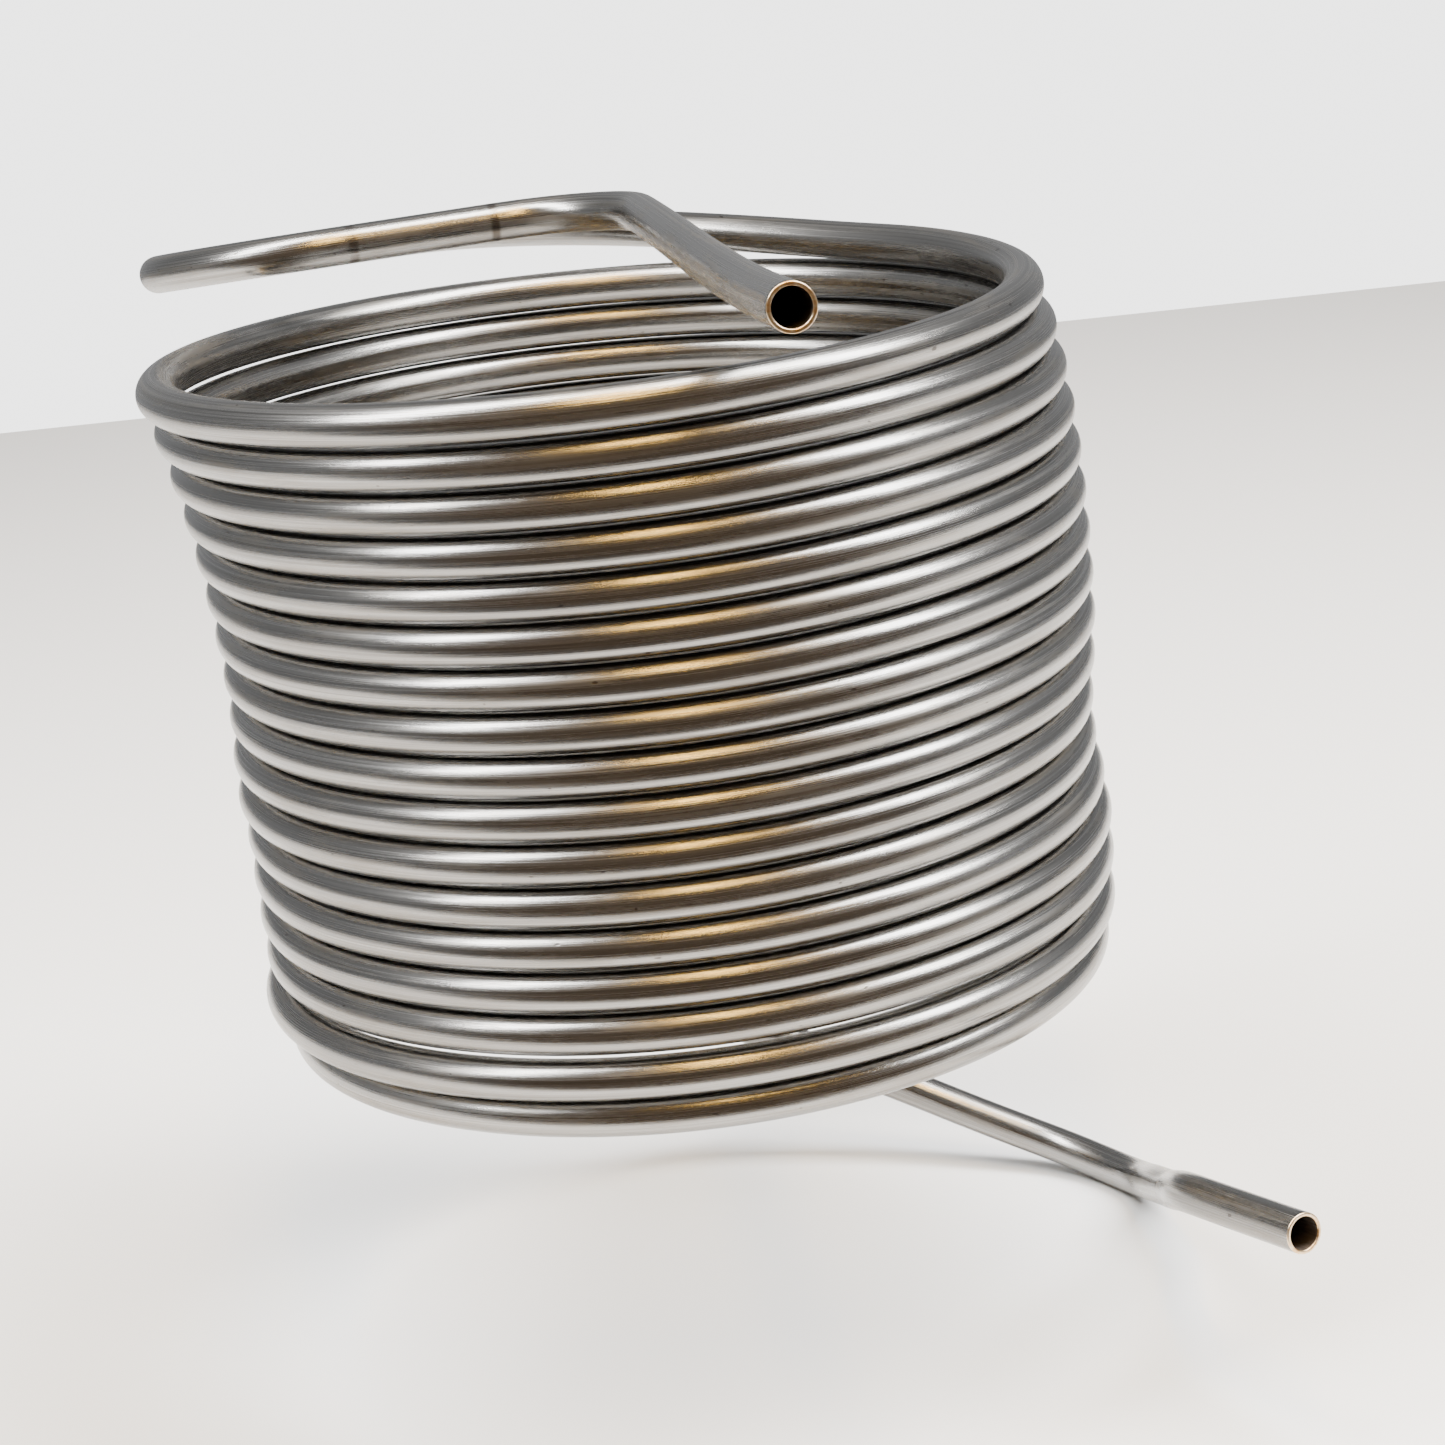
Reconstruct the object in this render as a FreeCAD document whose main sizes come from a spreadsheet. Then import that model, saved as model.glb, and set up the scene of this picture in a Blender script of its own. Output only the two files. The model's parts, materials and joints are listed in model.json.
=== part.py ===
import FreeCAD, Part
import math
import os

# Immersion wort chiller: one length of half-inch stainless tube wound into a close coil.
# The top end loops back over the coil and runs out as a spout; the bottom end drops
# away from the coil and runs out past its side. The coil's axis is +Z, millimetres.

SIZES = [
    # the tube
    ("tube_outside", 12.7),
    ("tube_wall", 1.245),
    ("rim_rounding", 0.4),
    # the coil: turns are counted from the back, downwards, clockwise seen from above
    ("coil_radius", 131.8),
    ("coil_taper", 2.94),
    ("turn_pitch", 13.19),
    ("turn_count", 17),
    ("middle_turn", 8.5),
    ("middle_height", 233.9),
    ("first_turn_start", 0.133),
    ("last_turn_end", 16.75),
    ("lean_left", 14.5),
    ("lean_front", 9.4),
    ("lean_power", 5.2),
    # unevenness of the winding: how much, the turn where it starts and the turns it takes
    ("widening", 2.0),
    ("widening_start", 11.4),
    ("widening_span", 2.0),
    ("slack", 1.2),
    ("slack_start", 14.7),
    ("slack_span", 0.7),
    ("tightening", 3.8),
    ("tightening_start", 15.9),
    ("tightening_span", 0.6),
    # turns that bow out to the left: how far, round which turn, over how many
    ("bow", 2.4),
    ("bow_turn", 10.6),
    ("bow_span", 1.6),
    ("bulge", 2.5),
    ("bulge_turn", 15.75),
    ("bulge_span", 0.3),
    # the loop, arm, elbow and spout over the top
    ("arm_start_across", -88.6),
    ("arm_start_back", 69.2),
    ("arm_start_height", 363.5),
    ("arm_heading", 14.3),
    ("arm_rise", 0.9),
    ("arm_length", 49.0),
    ("loop_radius", 56.7),
    ("loop_sweep", 213.7),
    ("loop_tilt", 7.7),
    ("elbow_radius", 39.0),
    ("spout_tip_across", 38.7),
    ("spout_tip_back", -243.1),
    ("spout_tip_height", 377.0),
    ("spout_bow", 2.7),
    ("spout_end_length", 22.0),
    # the tail's stations, from the end of the coil to its tip
    ("drop_left_across", -89.7),
    ("drop_left_back", 89.4),
    ("drop_left_height", 107.1),
    ("drop_back_across", 0.0),
    ("drop_back_back", 127.0),
    ("drop_back_height", 60.9),
    ("drop_right_across", 84.3),
    ("drop_right_back", 108.2),
    ("drop_right_height", 23.4),
    ("low_point_across", 140.3),
    ("low_point_back", 70.9),
    ("tail_side_across", 150.7),
    ("tail_side_back", 5.1),
    ("tail_side_height", 25.8),
    ("tail_front_across", 148.1),
    ("tail_front_back", -93.5),
    ("tail_front_height", 66.0),
    ("tail_tip_across", 169.4),
    ("tail_tip_back", -134.4),
    ("tail_tip_height", 70.8),
    ("tail_end_length", 18.0),
    # how finely routes are divided into arcs
    ("arcs_per_turn", 8),
    ("free_arc_length", 30.0),
]

STRAIGHT = 0.00001      # a route turning less than this runs straight
TINY_TURN = 0.0001      # step for the coil's direction, in turns
FEWEST_ARCS = 2         # in any bend
SMALLEST_VOLUME = 1     # of a sound solid, mm3
UP = FreeCAD.Vector(0, 0, 1)

doc = FreeCAD.newDocument("wort_chiller")
sheet = doc.addObject("Spreadsheet::Sheet", "Sizes")
for row, (name, value) in enumerate(SIZES, start=1):
    sheet.set("A%d" % row, name)
    sheet.set("B%d" % row, str(value))
    sheet.setAlias("B%d" % row, name)
doc.recompute()


def size(name):
    """A size from the sheet, by its alias."""
    return float(sheet.get(name))


def place(stem):
    """The point whose three coordinates share this stem."""
    return FreeCAD.Vector(size(stem + "_across"), size(stem + "_back"), size(stem + "_height"))


def unit(vector):
    return vector * (1.0 / vector.Length)


# ---- the coil's centre line ----------------------------------------------------------

def ramp(name, turn):
    """How much of a named unevenness the coil has by this turn."""
    share = (turn - size(name + "_start")) / size(name + "_span")
    share = min(1.0, max(0.0, share))
    return size(name) * share * share * (3 - 2 * share)


def swell(name, turn):
    """How far a named swelling reaches at this turn."""
    return size(name) * math.exp(-((turn - size(name + "_turn")) / size(name + "_span")) ** 2)


def coil_point(turn):
    """The centre line: a close helix that leans at the top and is a little uneven."""
    angle = math.pi / 2 - 2 * math.pi * turn
    low = (turn - size("middle_turn")) / size("middle_turn")
    lean = max(0.0, (1 - low) / 2) ** size("lean_power")
    radius = size("coil_radius") - size("coil_taper") * low - ramp("tightening", turn)
    left = size("lean_left") * lean + swell("bow", turn) + swell("bulge", turn)
    front = size("lean_front") * lean
    drop = size("turn_pitch") * (turn - size("middle_turn")) + ramp("slack", turn)
    return FreeCAD.Vector((radius + ramp("widening", turn)) * math.cos(angle) - left,
                          radius * math.sin(angle) - front,
                          size("middle_height") - drop)


def coil_slope(turn):
    """The centre line's direction, in millimetres a turn."""
    step = coil_point(turn + TINY_TURN) - coil_point(turn - TINY_TURN)
    return step * (0.5 / TINY_TURN)


# ---- routes: chains of arcs that run smoothly into each other -------------------------

def arc_route(points, heading):
    """Arcs through the points, the first along heading, each leaving as the last arrived."""
    heading = unit(heading)
    edges = []
    for start, end in zip(points, points[1:]):
        chord = end - start
        ahead = unit(chord)
        off = chord - heading * chord.dot(heading)
        if off.Length < STRAIGHT * chord.Length:
            edges.append(Part.makeLine(start, end))
            continue
        radius = chord.Length / (2 * math.sin(heading.getAngle(chord)))
        centre = start + unit(off) * radius
        middle = centre + unit((start + end) * 0.5 - centre) * radius
        edges.append(Part.Arc(start, middle, end).toShape())
        heading = unit(ahead * (2 * heading.dot(ahead)) - heading)
    return Part.Wire(edges)


def blend_points(start, start_slope, end, end_slope, count):
    """Points on the cubic from start to end with those slopes."""
    points = []
    for i in range(count + 1):
        t = i / count
        points.append(start * (2 * t**3 - 3 * t**2 + 1) + start_slope * (t**3 - 2 * t**2 + t)
                      + end * (3 * t**2 - 2 * t**3) + end_slope * (t**3 - t**2))
    return points


def turned_points(centre, start, heading, sweep):
    """Points from start, first along heading, turning about centre by sweep radians."""
    arm = start - centre
    side = unit(heading) * arm.Length
    count = max(FEWEST_ARCS, int(math.ceil(sweep / (2 * math.pi) * size("arcs_per_turn"))))
    angles = [sweep * i / count for i in range(count + 1)]
    return [centre + arm * math.cos(a) + side * math.sin(a) for a in angles]


def free_points(start, start_heading, end, end_heading):
    """Points on a smooth free run between two headings."""
    gap = (end - start).Length
    count = max(FEWEST_ARCS, int(round(gap / size("free_arc_length"))))
    return blend_points(start, unit(start_heading) * gap, end, unit(end_heading) * gap, count)


# ---- making one piece of tube along a route ------------------------------------------

def bind_radii(outer, inner):
    """Ties the two skins' radii to the tube's outside and wall."""
    outer.setExpression("Radius", "Sizes.tube_outside / 2")
    inner.setExpression("Radius", "Sizes.tube_outside / 2 - Sizes.tube_wall")


def across(point, heading):
    """A placement whose own Z runs along heading."""
    return FreeCAD.Placement(point, FreeCAD.Rotation(UP, heading))


def bent_tube(name, points, heading):
    """A hollow length of tube swept along arcs through the points."""
    route = doc.addObject("Part::Feature", "Route_" + name)
    route.Shape = arc_route(points, heading)
    legs = ["Edge%d" % (i + 1) for i in range(len(route.Shape.Edges))]
    start = points[0]
    sweeps = []
    rings = []
    for skin in ("Outside", "Bore"):
        ring = doc.addObject("Part::Circle", "%s_ring_%s" % (skin, name))
        ring.Placement = across(start, heading)
        rings.append(ring)
        sweep = doc.addObject("Part::Sweep", "%s_%s" % (skin, name))
        sweep.Sections = [ring]
        sweep.Spine = (route, legs)
        sweep.Solid = True
        sweep.Frenet = False
        sweeps.append(sweep)
    bind_radii(rings[0], rings[1])
    tube = doc.addObject("Part::Cut", "Tube_" + name)
    tube.Base = sweeps[0]
    tube.Tool = sweeps[1]
    tube.Label = name
    return tube


def straight_tube(name, start, heading, length_name):
    """A straight hollow length of tube."""
    rods = []
    for skin in ("Outside", "Bore"):
        rod = doc.addObject("Part::Cylinder", "%s_%s" % (skin, name))
        rod.setExpression("Height", "Sizes." + length_name)
        rod.Placement = across(start, heading)
        rods.append(rod)
    bind_radii(rods[0], rods[1])
    tube = doc.addObject("Part::Cut", "Tube_" + name)
    tube.Base = rods[0]
    tube.Tool = rods[1]
    tube.Label = name
    return tube


def open_end(name, start, heading, length_name):
    """A straight end of the tube with its rim rounded off inside and out."""
    tube = straight_tube(name + "_square", start, heading, length_name)
    doc.recompute()
    tip = start + unit(heading) * size(length_name)
    rim = []
    for i, edge in enumerate(tube.Shape.Edges, start=1):
        is_circle = isinstance(edge.Curve, Part.Circle)
        if is_circle and (edge.Curve.Center - tip).Length < size("rim_rounding"):
            rim.append((i, size("rim_rounding"), size("rim_rounding")))
    end = doc.addObject("Part::Fillet", "End_" + name)
    end.Base = tube
    end.Edges = rim
    end.Label = name
    return end


nodes = []

# ---- the coil, one piece for each turn -----------------------------------------------

for number in range(1, int(size("turn_count")) + 1):
    start = max(number - 1, size("first_turn_start"))
    end = min(number, size("last_turn_end"))
    count = int(math.ceil((end - start) * size("arcs_per_turn")))
    points = [coil_point(start + (end - start) * i / count) for i in range(count + 1)]
    nodes.append(bent_tube("turn_%02d" % number, points, coil_slope(start)))

# ---- over the top: lead, loop, arm, elbow, spout -------------------------------------

heading_angle = math.radians(size("arm_heading"))
rise_angle = math.radians(size("arm_rise"))
tilt_angle = math.radians(size("loop_tilt"))
arm_heading = FreeCAD.Vector(math.cos(heading_angle) * math.cos(rise_angle),
                             math.sin(heading_angle) * math.cos(rise_angle),
                             math.sin(rise_angle))
level_side = unit(UP.cross(arm_heading))
true_up = arm_heading.cross(level_side)
loop_side = level_side * math.cos(tilt_angle) - true_up * math.sin(tilt_angle)

arm_start = place("arm_start")
arm_end = arm_start + arm_heading * size("arm_length")
loop_centre = arm_start + loop_side * size("loop_radius")
loop_sweep = math.radians(size("loop_sweep"))
loop_arm = arm_start - loop_centre
loop_back = arm_heading * -size("loop_radius")
loop_start = loop_centre + loop_arm * math.cos(loop_sweep) + loop_back * math.sin(loop_sweep)
loop_heading = loop_arm * math.sin(loop_sweep) - loop_back * math.cos(loop_sweep)

coil_start = coil_point(size("first_turn_start"))
coil_heading = coil_slope(size("first_turn_start")) * -1
lead = free_points(coil_start, coil_heading, loop_start, loop_heading)
nodes.append(bent_tube("top_lead", lead, coil_heading))
loop = turned_points(loop_centre, loop_start, loop_heading, loop_sweep)
nodes.append(bent_tube("return_loop", loop, loop_heading))
nodes.append(straight_tube("cross_arm", arm_start, arm_heading, "arm_length"))

# the elbow turns from the arm until it faces the spout's tip
spout_tip = place("spout_tip")
to_tip = spout_tip - arm_end
elbow_side = unit(to_tip - arm_heading * to_tip.dot(arm_heading))
elbow_centre = arm_end + elbow_side * size("elbow_radius")
ahead = (spout_tip - elbow_centre).dot(arm_heading)
aside = (spout_tip - elbow_centre).dot(elbow_side)
reach = math.hypot(ahead, aside)
elbow_turn = math.acos(-size("elbow_radius") / reach) - math.atan2(ahead, aside)
bend = turned_points(elbow_centre, arm_end, arm_heading, elbow_turn)
nodes.append(bent_tube("elbow", bend, arm_heading))

elbow_end = bend[-1]
spout_heading = arm_heading * math.cos(elbow_turn) + elbow_side * math.sin(elbow_turn)
# a shallow bow this deep over the run turns its end up by four depths over the length
spout_reach = (spout_tip - elbow_end).Length
tip_heading = unit(spout_heading + UP * (4 * size("spout_bow") / spout_reach))
spout_end = spout_tip - tip_heading * size("spout_end_length")
run = free_points(elbow_end, spout_heading, spout_end, tip_heading)
nodes.append(bent_tube("spout", run, spout_heading))
nodes.append(open_end("spout_end", spout_end, tip_heading, "spout_end_length"))

# ---- under the coil: the drop, the tail and its open end -----------------------------

low_point = FreeCAD.Vector(size("low_point_across"), size("low_point_back"),
                           size("tube_outside") / 2)
tail_tip = place("tail_tip")
tip_side = unit(tail_tip - place("tail_front"))
stations = [coil_point(size("last_turn_end")), place("drop_left"), place("drop_back"),
            place("drop_right"), low_point, place("tail_side"), place("tail_front"),
            tail_tip - tip_side * size("tail_end_length")]
steps = [(b - a).Length for a, b in zip(stations, stations[1:])]
slopes = [unit(coil_slope(size("last_turn_end")))]
for i in range(1, len(stations) - 1):
    before = (stations[i] - stations[i - 1]) * (1 / steps[i - 1])
    after = (stations[i + 1] - stations[i]) * (1 / steps[i])
    slope = (before * steps[i] + after * steps[i - 1]) * (1 / (steps[i] + steps[i - 1]))
    if stations[i] is low_point:
        slope.z = 0.0
    slopes.append(slope)
slopes.append(tip_side)


def tail_points(first, last):
    """Points from one station to another, evenly along each step between stations."""
    points = [stations[first]]
    for i in range(first, last):
        count = max(1, int(round(steps[i] / size("free_arc_length"))))
        points += blend_points(stations[i], slopes[i] * steps[i], stations[i + 1],
                               slopes[i + 1] * steps[i], count)[1:]
    return points


low = stations.index(low_point)
nodes.append(bent_tube("tail_drop", tail_points(0, low), slopes[0]))
nodes.append(bent_tube("tail_run", tail_points(low, len(stations) - 1), slopes[low]))
nodes.append(open_end("tail_end", stations[-1], tip_side, "tail_end_length"))

# ---- check and write -----------------------------------------------------------------

doc.recompute()
for item in doc.Objects:
    if "Invalid" in item.State or "Error" in item.State:
        raise RuntimeError("%s did not build" % item.Label)
for node in nodes:
    if node.Shape.isNull() or not node.Shape.isValid() or node.Shape.Volume < SMALLEST_VOLUME:
        raise RuntimeError("%s is not a sound solid" % node.Label)

os.makedirs("parts", exist_ok=True)
for node in nodes:
    node.Shape.exportStep(os.path.join("parts", node.Label + ".step"))
    print("%s %.1f mm3" % (node.Label, node.Shape.Volume))
print("elbow turns %.1f degrees" % math.degrees(elbow_turn))
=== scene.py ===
import json
import math

import bpy
import numpy as np
from mathutils import Matrix, Vector
from mathutils.kdtree import KDTree


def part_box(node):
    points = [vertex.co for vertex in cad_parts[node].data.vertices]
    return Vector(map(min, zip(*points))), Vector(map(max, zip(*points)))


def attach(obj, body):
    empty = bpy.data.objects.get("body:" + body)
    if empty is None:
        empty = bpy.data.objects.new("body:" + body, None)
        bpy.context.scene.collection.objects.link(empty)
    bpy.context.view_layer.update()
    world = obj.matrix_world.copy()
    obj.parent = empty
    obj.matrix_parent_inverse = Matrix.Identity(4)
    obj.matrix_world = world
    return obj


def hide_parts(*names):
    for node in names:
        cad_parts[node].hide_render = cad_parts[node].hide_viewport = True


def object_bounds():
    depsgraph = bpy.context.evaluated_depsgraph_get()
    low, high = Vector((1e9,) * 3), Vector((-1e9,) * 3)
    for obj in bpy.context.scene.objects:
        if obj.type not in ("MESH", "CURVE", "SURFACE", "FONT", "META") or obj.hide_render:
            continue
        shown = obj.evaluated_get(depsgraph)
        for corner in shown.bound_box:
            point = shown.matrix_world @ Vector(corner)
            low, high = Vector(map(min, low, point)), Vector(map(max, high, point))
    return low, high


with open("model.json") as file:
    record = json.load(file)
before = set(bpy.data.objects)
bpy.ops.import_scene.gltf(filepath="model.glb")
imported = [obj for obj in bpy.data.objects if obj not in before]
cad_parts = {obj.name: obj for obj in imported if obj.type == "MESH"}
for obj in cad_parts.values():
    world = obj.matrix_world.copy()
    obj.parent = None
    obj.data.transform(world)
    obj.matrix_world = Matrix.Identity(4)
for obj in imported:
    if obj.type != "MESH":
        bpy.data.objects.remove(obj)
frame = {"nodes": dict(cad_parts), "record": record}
CAD_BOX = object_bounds()

# ---- sizes in metres; the tube's own come from the frame ---------------------------------

MOUNTS = {m["name"]: m for m in frame["record"]["mounts"]}
TUBE_RADIUS = MOUNTS["spout_hose_end"]["dims"]["r_mm"] / 1000
BORE_RADIUS = MOUNTS["spout_bore"]["dims"]["r_mm"] / 1000
SKIN_SPLIT = (TUBE_RADIUS + BORE_RADIUS) / 2      # parts the outside's vertices from the bore's
RIM_ROUNDING = 0.0004       # as in the CAD

LONGEST_EDGE = 0.013        # longer edges of the CAD mesh get points added along them
SHORTEST_GAP = 0.0004       # between two rings of CAD vertices
LONGEST_GAP = 0.016
RING_TILT = 0.0016          # how far a ring's vertices may spread along the tube
NEXT_TURN_GAP = 0.00025     # vertices further out than this belong to the next turn
MOUTH_GAP = 5 * RIM_ROUNDING        # a ring this near the last mouth ends the search
FEWEST_POINTS = 8           # in a ring
MOST_RINGS = 20000
SMOOTHING_ROUNDS = 6
SMOOTHING_SHARE = 0.5       # of each error, taken away in a round
RING_SPACING = 0.004        # between the visible tube's rings
SIDES = 36                  # round the tube
BORE_RING_STEP = 3          # the bore has a third of the outside's rings


# ---- the tube's centre line, read from the frame's meshes --------------------------------

def end_of_tube(mount_name):
    """The middle of an open end's mouth and the direction that points out of it."""
    mount = MOUNTS[mount_name]
    axis = np.array(mount["axis"])
    half_length = mount["dims"]["length_mm"] / 2000
    return np.array(mount["pos_m"]) + axis * (half_length + RIM_ROUNDING), axis


def surface_points(mesh):
    """The mesh's vertices, and points along any edge that is long."""
    places = np.zeros(len(mesh.vertices) * 3)
    mesh.vertices.foreach_get("co", places)
    places = places.reshape(-1, 3)
    pairs = np.zeros(len(mesh.edges) * 2, int)
    mesh.edges.foreach_get("vertices", pairs)
    starts, ends = places[pairs.reshape(-1, 2)].transpose(1, 0, 2)
    lengths = np.linalg.norm(ends - starts, axis=1)
    clouds = [places]
    for start, end, length in zip(starts, ends, lengths):
        pieces = math.ceil(length / LONGEST_EDGE)
        if pieces > 1:
            shares = np.arange(1, pieces)[:, None] / pieces
            clouds.append(start + (end - start) * shares)
    return np.vstack(clouds)


def surface_tree():
    """Points all over the CAD tube, and a tree that finds the ones near a place."""
    points = np.vstack([surface_points(node.data) for node in frame["nodes"].values()])
    tree = KDTree(len(points))
    for index, point in enumerate(points):
        tree.insert(point, index)
    tree.balance()
    return tree, points


def ring_ahead(near, here, heading, bend):
    """The nearest ring of outside points ahead, if the tube bends like this from here."""
    ahead = (near - here) @ heading
    guess = here + ahead[:, None] * heading + (ahead**2)[:, None] * bend / 2
    spread = np.linalg.norm(near - guess, axis=1)
    wanted = ((ahead > SHORTEST_GAP) & (ahead < LONGEST_GAP) & (spread > SKIN_SPLIT)
              & (spread < TUBE_RADIUS + NEXT_TURN_GAP))
    near, ahead = near[wanted], ahead[wanted]
    return near[ahead < ahead.min() + RING_TILT] if len(near) else near


def circle_through(ring, heading):
    """The centre of the circle that fits a ring best, and the ring's normal."""
    middle = ring.mean(0)
    side, up, normal = np.linalg.svd(ring - middle)[2]
    flat = np.column_stack([(ring - middle) @ side, (ring - middle) @ up])
    rows = np.column_stack([2 * flat, np.ones(len(flat))])
    across, along, _ = np.linalg.lstsq(rows, (flat**2).sum(1), rcond=None)[0]
    return middle + side * across + up * along, normal * np.sign(normal @ heading)


def next_ring(near, here, heading, bend):
    """The next ring's centre and normal: the tube bends on from here, or runs straight."""
    ring = max(ring_ahead(near, here, heading, bend),
               ring_ahead(near, here, heading, np.zeros(3)), key=len)
    return circle_through(ring, heading) if len(ring) >= FEWEST_POINTS else None


def centre_points():
    """Points on the tube's axis, and its direction there, from the spout's mouth to the
    tail's."""
    tree, points = surface_tree()
    here, outward = end_of_tube("spout_hose_end")
    last_mouth, last_outward = end_of_tube("tail_hose_end")
    heading, bend = -outward, np.zeros(3)
    centres, headings = [here], [heading]
    for _ in range(MOST_RINGS):
        close = tree.find_range(here, LONGEST_GAP + TUBE_RADIUS)
        ring = next_ring(points[[index for _, index, _ in close]], here, heading, bend)
        if ring is None or np.linalg.norm(ring[0] - last_mouth) < MOUTH_GAP:
            break
        centre, normal = ring
        bend = (normal - heading) / np.linalg.norm(centre - here)
        here, heading = centre, normal
        centres.append(centre)
        headings.append(normal)
    if np.linalg.norm(here - last_mouth) > LONGEST_GAP:
        raise RuntimeError("the tube's centre line was lost at %s" % here)
    return np.array(centres + [last_mouth]), np.array(headings + [last_outward])


def smooth_slopes(points, steps, first, last):
    """The direction of travel at each point."""
    leg = np.diff(points, axis=0) / steps[:, None]
    slopes = np.empty_like(points)
    slopes[0], slopes[-1] = first, last
    weight = steps[1:] + steps[:-1]
    slopes[1:-1] = (leg[:-1] * steps[1:, None] + leg[1:] * steps[:-1, None]) / weight[:, None]
    return slopes / np.linalg.norm(slopes, axis=1)[:, None]


def resample(points, slopes, steps, along):
    """The curve through the points with those slopes, at given distances along it."""
    distance = np.concatenate([[0], np.cumsum(steps)])
    leg = np.clip(np.searchsorted(distance, along, side="right") - 1, 0, len(steps) - 1)
    size = steps[leg][:, None]
    t = ((along - distance[leg]) / steps[leg])[:, None]
    a, b = points[leg], points[leg + 1]
    out_of, into = slopes[leg] * size, slopes[leg + 1] * size
    return ((2 * t**3 - 3 * t**2 + 1) * a + (t**3 - 2 * t**2 + t) * out_of
            + (3 * t**2 - 2 * t**3) * b + (t**3 - t**2) * into)


def soften(points):
    """Evens out small errors between neighbours and keeps the ends."""
    for _ in range(SMOOTHING_ROUNDS):
        curve = np.zeros_like(points)
        curve[1:-1] = (points[:-2] + points[2:]) / 2 - points[1:-1]
        error = np.zeros_like(points)
        error[2:-2] = (curve[1:-3] + curve[3:-1]) / 2 - curve[2:-2]
        points = points - error * SMOOTHING_SHARE
    return points


class Route:
    """The centre line at even steps, with a frame that turns as little as it can."""

    def __init__(self):
        rough, slopes = centre_points()
        steps = np.linalg.norm(np.diff(rough, axis=0), axis=1)
        self.length = steps.sum()
        count = int(self.length / RING_SPACING)
        self.along = np.linspace(0, self.length, count + 1)
        self.points = soften(resample(rough, slopes, steps, self.along))
        even = np.linalg.norm(np.diff(self.points, axis=0), axis=1)
        self.headings = smooth_slopes(self.points, even, slopes[0], slopes[-1])
        self.sides = self.carry_sides()
        self.ups = np.cross(self.headings, self.sides)

    def carry_sides(self):
        """A direction across the tube at each point, as near as it can be to the last."""
        side = np.cross(self.headings[0], (0.0, 0.0, 1.0))
        sides = []
        for heading in self.headings:
            side = side - heading * (side @ heading)
            side = side / np.linalg.norm(side)
            sides.append(side)
        return np.array(sides)

    def at(self, distances):
        """Centres and cross directions at distances along the route."""
        return [np.column_stack([np.interp(distances, self.along, rows[:, i]) for i in range(3)])
                for rows in (self.points, self.sides, self.ups)]


ROUTE = Route()


def ends_along(name):
    """How far along the tube a straight stretch begins and ends."""
    low, high = (np.array(corner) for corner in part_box(name))
    inside = np.all((ROUTE.points > low) & (ROUTE.points < high), axis=1)
    return ROUTE.along[inside][[0, -1]].tolist()


# ---- shader helpers ----------------------------------------------------------------------

MIX_COLOUR_A, MIX_COLOUR_B, MIX_COLOUR_RESULT = 6, 7, 2     # a Mix node's colour sockets


class Nodes:
    """Short ways to add and join shader nodes."""

    def __init__(self, tree):
        self.tree = tree
        tree.nodes.clear()

    def add(self, kind, inputs=None, **settings):
        node = self.tree.nodes.new(kind)
        for name, value in settings.items():
            setattr(node, name, value)
        for name, value in (inputs or {}).items():
            self.feed(node.inputs[name], value)
        return node

    def feed(self, socket, value):
        if isinstance(value, bpy.types.NodeSocket):
            self.tree.links.new(value, socket)
        else:
            socket.default_value = value

    def math(self, operation, a, b=0.0):
        return self.add("ShaderNodeMath", {0: a, 1: b}, operation=operation).outputs[0]

    def smooth(self, value, low, high, to_low=0.0, to_high=1.0):
        node = self.add("ShaderNodeMapRange",
                        {"Value": value, "From Min": low, "From Max": high,
                         "To Min": to_low, "To Max": to_high}, interpolation_type="SMOOTHSTEP")
        return node.outputs["Result"]

    def mix(self, share, a, b):
        node = self.add("ShaderNodeMix", {0: share, MIX_COLOUR_A: a, MIX_COLOUR_B: b},
                        data_type="RGBA")
        return node.outputs[MIX_COLOUR_RESULT]


def rgb(red, green, blue):
    return (red, green, blue, 1.0)


# ---- materials ---------------------------------------------------------------------------

STEEL_DARK = rgb(0.185, 0.179, 0.169)
STEEL_LIGHT = rgb(0.335, 0.330, 0.320)
STEEL_BLOTCH = rgb(0.21, 0.187, 0.156)
STEEL_PIT = rgb(0.045, 0.036, 0.03)
STEEL_MARK = rgb(0.05, 0.037, 0.026)
RIM_BROWN = rgb(0.62, 0.40, 0.20)
RIM_GOLD = rgb(0.78, 0.64, 0.45)
# darker and browner than the outside steel: painted shade inside the tube's mouth
BORE_DARK = rgb(0.16, 0.13, 0.11)
BORE_LIGHT = rgb(0.26, 0.22, 0.19)

MARK_WIDTH = 0.0022         # from the middle of a mark to where it has faded
BUMP_HEIGHT = 0.0002
PIT_DEPTH = 0.5             # of the height of the drawn lines


def along_and_round(n):
    """Metres along the tube, and turns round it from 0 to 1."""
    coordinates = n.add("ShaderNodeUVMap", uv_map="Along").outputs[0]
    parts = n.add("ShaderNodeSeparateXYZ", {0: coordinates})
    return parts.outputs["X"], parts.outputs["Y"]


def tube_noise(n, along, around, detail, roughness):
    """Noise from 0 to 1 that joins up round the tube: along is in cells a metre, and a larger
    around gives more lines round the tube."""
    distance, turn = along_and_round(n)
    angle = n.math("MULTIPLY", turn, 2 * math.pi)
    place = n.add("ShaderNodeCombineXYZ", {
        "X": n.math("MULTIPLY", distance, along),
        "Y": n.math("MULTIPLY", n.math("COSINE", angle), around),
        "Z": n.math("MULTIPLY", n.math("SINE", angle), around)})
    noise = n.add("ShaderNodeTexNoise", {"Vector": place.outputs[0], "Scale": 1.0,
                                         "Detail": detail, "Roughness": roughness})
    return noise.outputs["Fac"]


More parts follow.
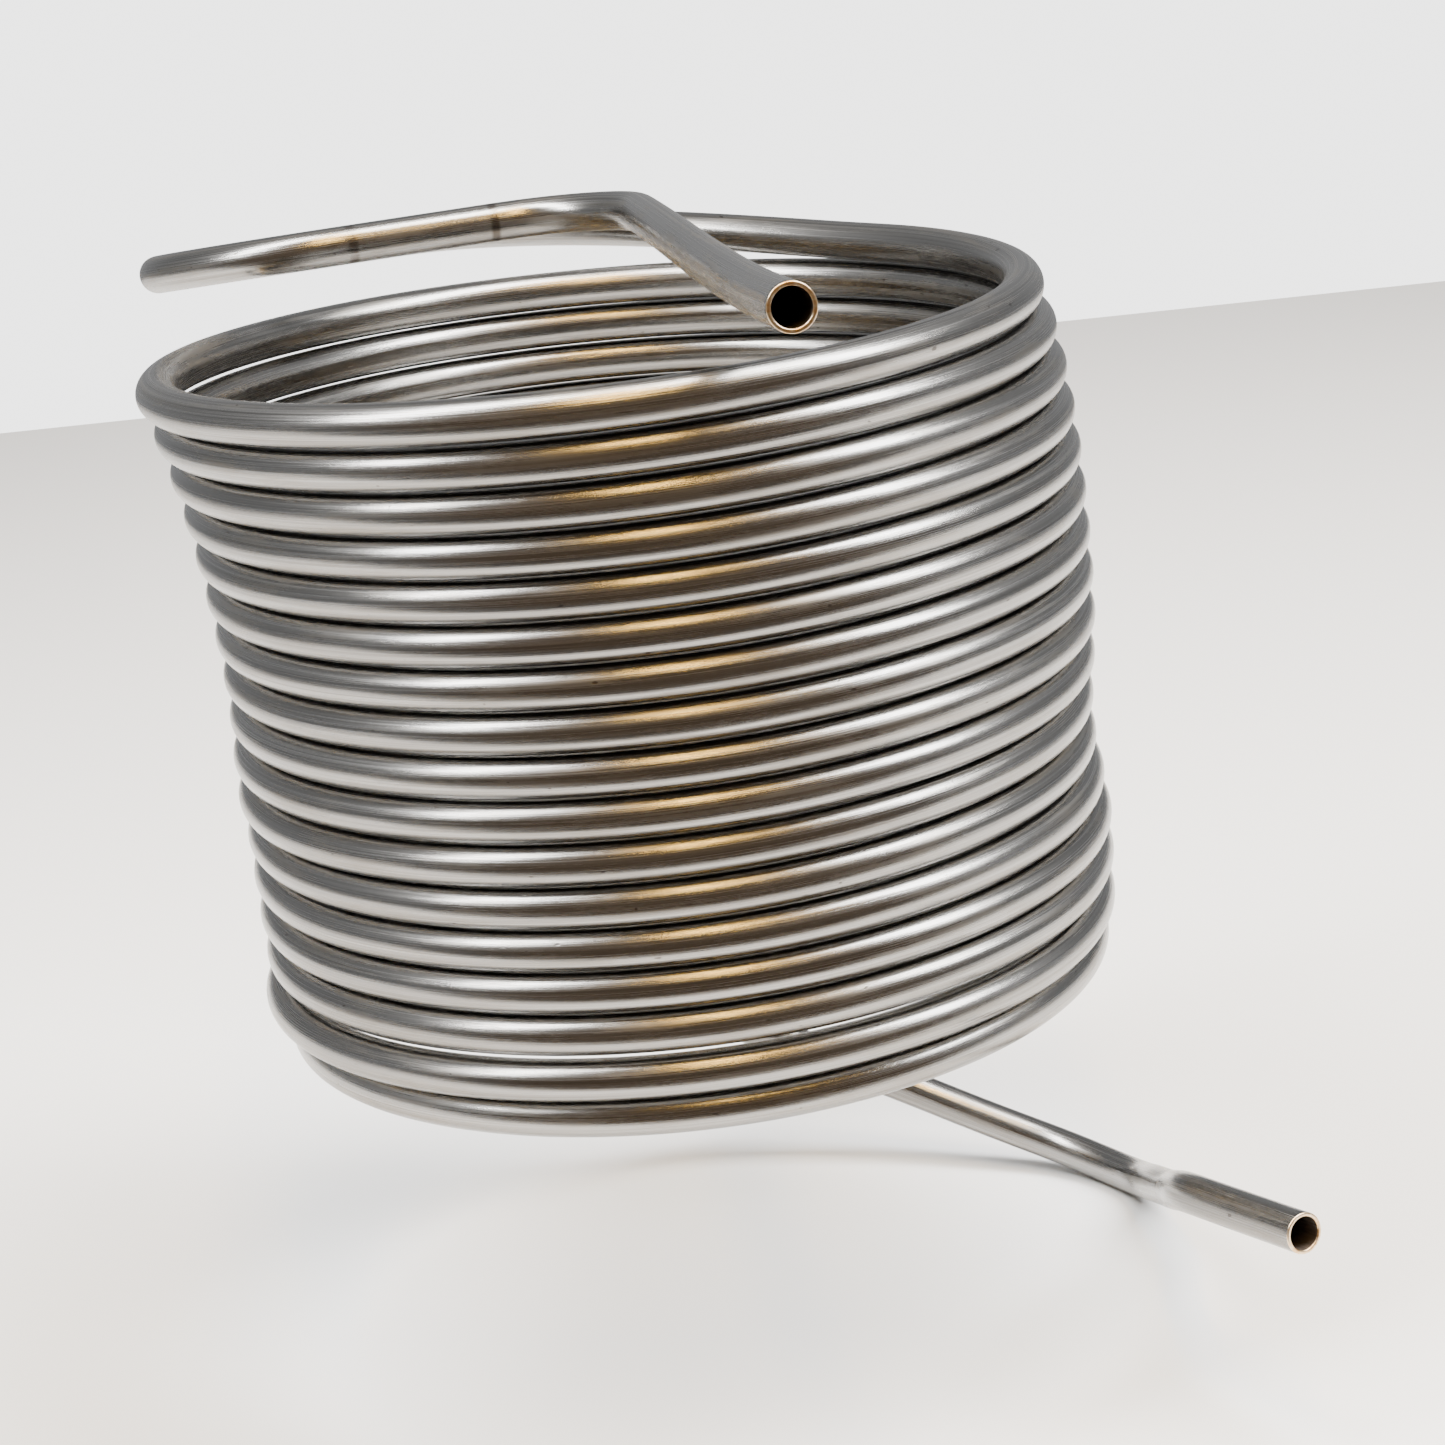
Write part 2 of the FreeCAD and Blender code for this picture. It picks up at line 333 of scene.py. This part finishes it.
def bender_marks(n):
    """1 in narrow bands at the ends of the stretch that the bender gripped."""
    along, _ = along_and_round(n)
    marks = 0.0
    for spot in ends_along("cross_arm"):
        distance = n.math("ABSOLUTE", n.math("SUBTRACT", along, spot))
        band = n.math("SUBTRACT", 1.0, n.smooth(distance, MARK_WIDTH / 3, MARK_WIDTH))
        marks = n.math("MAXIMUM", band, marks)
    return marks


def new_material(name):
    material = bpy.data.materials.new(name)
    material.use_nodes = True
    return material, Nodes(material.node_tree)


def join_metal(n, tone, roughness, **more):
    """Gives the material a metal surface with these inputs."""
    shader = n.add("ShaderNodeBsdfPrincipled", {"Base Color": tone, "Metallic": 1.0,
                                                "Roughness": roughness, **more})
    n.add("ShaderNodeOutputMaterial", {"Surface": shader.outputs[0]})


def drawn_lines(n):
    """Fine and broad lines along the tube, left by the die."""
    fine = tube_noise(n, along=7.0, around=34.0, detail=4.0, roughness=0.62)
    broad = tube_noise(n, along=2.5, around=6.0, detail=3.0, roughness=0.55)
    return n.math("ADD", n.math("MULTIPLY", fine, 0.6), n.math("MULTIPLY", broad, 0.4))


def steel_tone(n, lines, blotches, pits, marks):
    """The steel's colour, from light lines to dark pits and marks."""
    tone = n.mix(n.smooth(lines, 0.36, 0.64), STEEL_DARK, STEEL_LIGHT)
    tone = n.mix(n.smooth(blotches, 0.45, 0.72, 0.0, 0.45), tone, STEEL_BLOTCH)
    tone = n.mix(n.math("MULTIPLY", pits, 0.7), tone, STEEL_PIT)
    return n.mix(n.math("MULTIPLY", marks, 0.75), tone, STEEL_MARK)


def steel_material():
    """Drawn stainless steel: fine lines along the tube, faint blotches and small pits."""
    material, n = new_material("drawn_steel")
    lines = drawn_lines(n)
    blotches = tube_noise(n, along=26.0, around=1.6, detail=3.0, roughness=0.6)
    pit_noise = tube_noise(n, along=260.0, around=3.2, detail=1.0, roughness=0.4)
    pits = n.smooth(pit_noise, 0.765, 0.80)
    marks = n.math("MULTIPLY", bender_marks(n), n.smooth(blotches, 0.38, 0.6))
    roughness = n.math("ADD", n.smooth(lines, 0.32, 0.68, 0.19, 0.29),
                       n.smooth(blotches, 0.45, 0.75, 0.0, 0.10))
    height = n.math("SUBTRACT", lines, n.math("MULTIPLY", pits, PIT_DEPTH))
    height = n.math("SUBTRACT", height, marks)
    bump = n.add("ShaderNodeBump", {"Height": height, "Strength": 0.3, "Distance": BUMP_HEIGHT})
    join_metal(n, steel_tone(n, lines, blotches, pits, marks), roughness, Normal=bump.outputs[0])
    return material


def rim_material():
    """The cut rim, tinted gold and brown."""
    material, n = new_material("cut_rim")
    spots = tube_noise(n, along=300.0, around=2.5, detail=2.0, roughness=0.6)
    join_metal(n, n.mix(n.smooth(spots, 0.35, 0.65), RIM_BROWN, RIM_GOLD), roughness=0.28)
    return material


def bore_material():
    """The dull inside of the tube, painted darker and browner than the outside steel as shade
    inside the mouth; the noise between its two tones is random stain.
    """
    material, n = new_material("dull_bore")
    stain = tube_noise(n, along=60.0, around=4.0, detail=3.0, roughness=0.6)
    join_metal(n, n.mix(n.smooth(stain, 0.3, 0.7), BORE_DARK, BORE_LIGHT), roughness=0.5)
    return material


# ---- the visible tube --------------------------------------------------------------------

OUTSIDE, RIM, BORE = 0, 1, 2        # parts of the skin, in the order of their materials
RIM_DEGREES = (0, 30, 60, 90)       # round each quarter of the rim's edge


def rim_rings():
    """(distance in from the mouth, radius, part) from the bore round the rim's edge."""
    rings = []
    for degrees in RIM_DEGREES:
        a = math.radians(degrees)
        rings.append((RIM_ROUNDING * (1 - math.sin(a)),
                      BORE_RADIUS + RIM_ROUNDING * (1 - math.cos(a)), RIM))
    for degrees in RIM_DEGREES:
        a = math.radians(degrees)
        rings.append((RIM_ROUNDING * (1 - math.cos(a)),
                      TUBE_RADIUS - RIM_ROUNDING * (1 - math.sin(a)), RIM))
    return rings


def tube_rings():
    """Every ring of the skin: round the near rim, along the outside, round the far rim and
    back down the bore, where it meets its own start. A ring's part is that of the faces
    between it and the next ring."""
    between_rims = [s for s in ROUTE.along if RIM_ROUNDING < s < ROUTE.length - RIM_ROUNDING]
    near = rim_rings()
    near[-1] = near[-1][:2] + (OUTSIDE,)
    far = [(ROUTE.length - s, radius, RIM) for s, radius, _ in rim_rings()][::-1]
    far[-1] = far[-1][:2] + (BORE,)
    outside = [(s, TUBE_RADIUS, OUTSIDE) for s in between_rims]
    bore = [(s, BORE_RADIUS, BORE) for s in between_rims[::BORE_RING_STEP]][::-1]
    return near + outside + far + bore


def skin_points(distances, radii):
    """A circle of points at each distance along the tube."""
    centres, sides, ups = ROUTE.at(distances)
    turn = np.arange(SIDES) * 2 * math.pi / SIDES
    around = (np.cos(turn)[None, :, None] * sides[:, None, :]
              + np.sin(turn)[None, :, None] * ups[:, None, :])
    return centres[:, None, :] + radii[:, None, None] * around


def tube_mesh():
    """The skin between the rings, with metres along and turns round it as its UV map."""
    distances, radii, parts = (np.array(column) for column in zip(*tube_rings()))
    ring, side = np.meshgrid(np.arange(len(parts)), np.arange(SIDES), indexing="ij")
    ring_after, side_after = (ring + 1) % len(parts), (side + 1) % SIDES
    faces = np.stack([ring * SIDES + side, ring * SIDES + side_after,
                      ring_after * SIDES + side_after, ring_after * SIDES + side], axis=-1)
    mesh = bpy.data.meshes.new("tube")
    mesh.from_pydata(skin_points(distances, radii).reshape(-1, 3).tolist(), [],
                     faces.reshape(-1, 4).tolist())
    along = distances[np.stack([ring, ring, ring_after, ring_after], axis=-1)]
    across = np.stack([side, side + 1, side + 1, side], axis=-1) / SIDES
    layer = mesh.uv_layers.new(name="Along")
    layer.data.foreach_set("uv", np.stack([along, across], axis=-1).ravel())
    mesh.polygons.foreach_set("use_smooth", np.ones(len(mesh.polygons), bool))
    mesh.polygons.foreach_set("material_index", np.repeat(parts, SIDES))
    mesh.update()
    return mesh


def build_tube():
    tube = bpy.data.objects.new("tube", tube_mesh())
    bpy.context.scene.collection.objects.link(tube)
    for material in (steel_material(), rim_material(), bore_material()):
        tube.data.materials.append(material)
    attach(tube, "root")
    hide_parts(*frame["nodes"])


build_tube()


# ---- stage: floor, light, camera ---------------------------------------------------------

FLOOR_HALF_WIDTH = 1.6
FLOOR_FRONT = -0.3          # just in front of the part, so the steel hardly reflects it
FLOOR_BACK = 1.9
FLOOR_WHITE = rgb(0.84, 0.84, 0.835)
FLOOR_ROUGHNESS = 0.7

ROOM_GREY = rgb(0.40, 0.408, 0.42)
CEILING_GREY = rgb(0.36, 0.345, 0.33)
CAMERA_SIDE_BROWN = rgb(0.225, 0.160, 0.106)
BACKDROP_WHITE = rgb(3.4, 3.4, 3.38)

LAMP_DISTANCE = 1.9         # from the coil's middle
WHITE_LAMPS = {"elevation": 58, "height": 1.9, "colour": (1.0, 1.0, 1.0)}
WARM_LAMPS = {"elevation": 64, "height": 1.5, "colour": (1.0, 0.60, 0.15)}
SKY_STRENGTH = 0.6
SKY_SPREAD = math.radians(120)

SENSOR_WIDTH = 36           # millimetres
FARTHEST_SEEN = 100


def coil_middle():
    low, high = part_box("turn_09")
    return (low + high) / 2


def direction(azimuth, elevation):
    """Unit vector; azimuth 0 is towards the camera's side, growing to the right."""
    a, e = math.radians(azimuth), math.radians(elevation)
    return Vector((math.sin(a) * math.cos(e), -math.cos(a) * math.cos(e), math.sin(e)))


def make_floor():
    """A pale table top that ends a little in front of the part."""
    corners = [(-FLOOR_HALF_WIDTH, FLOOR_FRONT), (FLOOR_HALF_WIDTH, FLOOR_FRONT),
               (FLOOR_HALF_WIDTH, FLOOR_BACK), (-FLOOR_HALF_WIDTH, FLOOR_BACK)]
    mesh = bpy.data.meshes.new("floor")
    mesh.from_pydata([(x, y, CAD_BOX[0].z) for x, y in corners], [], [(0, 1, 2, 3)])
    floor = bpy.data.objects.new("floor", mesh)
    bpy.context.scene.collection.objects.link(floor)
    material = bpy.data.materials.new("pale_floor")
    material.use_nodes = True
    shader = material.node_tree.nodes["Principled BSDF"]
    shader.inputs["Base Color"].default_value = FLOOR_WHITE
    shader.inputs["Roughness"].default_value = FLOOR_ROUGHNESS
    floor.data.materials.append(material)


def add_softbox(name, azimuth, width, power, elevation, height, colour):
    """A rectangular lamp that faces the coil's middle."""
    light = bpy.data.lights.new(name, "AREA")
    light.shape = "RECTANGLE"
    light.size, light.size_y = width, height
    light.energy = power
    light.color = colour
    box = bpy.data.objects.new(name, light)
    box.location = coil_middle() + direction(azimuth, elevation) * LAMP_DISTANCE
    box.rotation_euler = direction(azimuth, elevation).to_track_quat("Z", "Y").to_euler()
    bpy.context.scene.collection.objects.link(box)


def add_sky_light():
    """Even light on the floor that glossy rays don't see, so it leaves the steel alone."""
    light = bpy.data.lights.new("sky_light", "SUN")
    light.energy = SKY_STRENGTH
    light.angle = SKY_SPREAD
    sky = bpy.data.objects.new("sky_light", light)
    sky.visible_glossy = False
    bpy.context.scene.collection.objects.link(sky)


def patch(n, heading, azimuth, elevation, core, edge):
    """1 within core degrees of a direction in the room, falling to 0 at edge degrees."""
    dot = n.add("ShaderNodeVectorMath", {0: heading, 1: direction(azimuth, elevation)},
                operation="DOT_PRODUCT").outputs["Value"]
    return n.smooth(dot, math.cos(math.radians(edge)), math.cos(math.radians(core)))


def make_room():
    """A grey room, dim and brown behind the camera, with a white backdrop."""
    world = bpy.data.worlds.new("room")
    bpy.context.scene.world = world
    world.use_nodes = True
    n = Nodes(world.node_tree)
    heading = n.add("ShaderNodeTexCoord").outputs["Generated"]
    ceiling = patch(n, heading, azimuth=0, elevation=90, core=12, edge=50)
    camera_side = patch(n, heading, azimuth=5, elevation=15, core=46, edge=82)
    room = n.mix(ceiling, ROOM_GREY, CEILING_GREY)
    room = n.mix(camera_side, room, CAMERA_SIDE_BROWN)
    seen_directly = n.add("ShaderNodeLightPath").outputs["Is Camera Ray"]
    shown = n.mix(seen_directly, room, BACKDROP_WHITE)
    background = n.add("ShaderNodeBackground", {"Color": shown, "Strength": 1.0})
    n.add("ShaderNodeOutputWorld", {"Surface": background.outputs[0]})


def make_camera():
    """The photograph's viewing angle: above the coil, rolled a little."""
    elevation, roll = 14.58, -6.10
    pan, tilt = -1.048, -1.272
    distance, lens = 1.062, 82.77
    data = bpy.data.cameras.new("camera")
    data.lens = lens
    data.sensor_width = SENSOR_WIDTH
    data.clip_end = FARTHEST_SEEN
    camera = bpy.data.objects.new("camera", data)
    bpy.context.scene.collection.objects.link(camera)
    camera.location = coil_middle() + direction(0, elevation) * distance
    level = (-direction(0, elevation)).to_track_quat("-Z", "Y").to_matrix()
    turned = (level @ Matrix.Rotation(math.radians(roll), 3, "Z")
              @ Matrix.Rotation(math.radians(pan), 3, "Y")
              @ Matrix.Rotation(math.radians(tilt), 3, "X"))
    camera.rotation_euler = turned.to_euler()
    bpy.context.scene.camera = camera


make_floor()
make_room()
add_softbox("left_softbox", azimuth=-63, width=0.38, power=100, **WHITE_LAMPS)
add_softbox("right_softbox", azimuth=76, width=0.60, power=135, **WHITE_LAMPS)
add_softbox("warm_lamp_1", azimuth=3, width=0.12, power=32, **WARM_LAMPS)
add_softbox("warm_lamp_2", azimuth=26, width=0.06, power=6, **WARM_LAMPS)
add_softbox("warm_lamp_3", azimuth=46, width=0.06, power=4, **WARM_LAMPS)
add_sky_light()
make_camera()
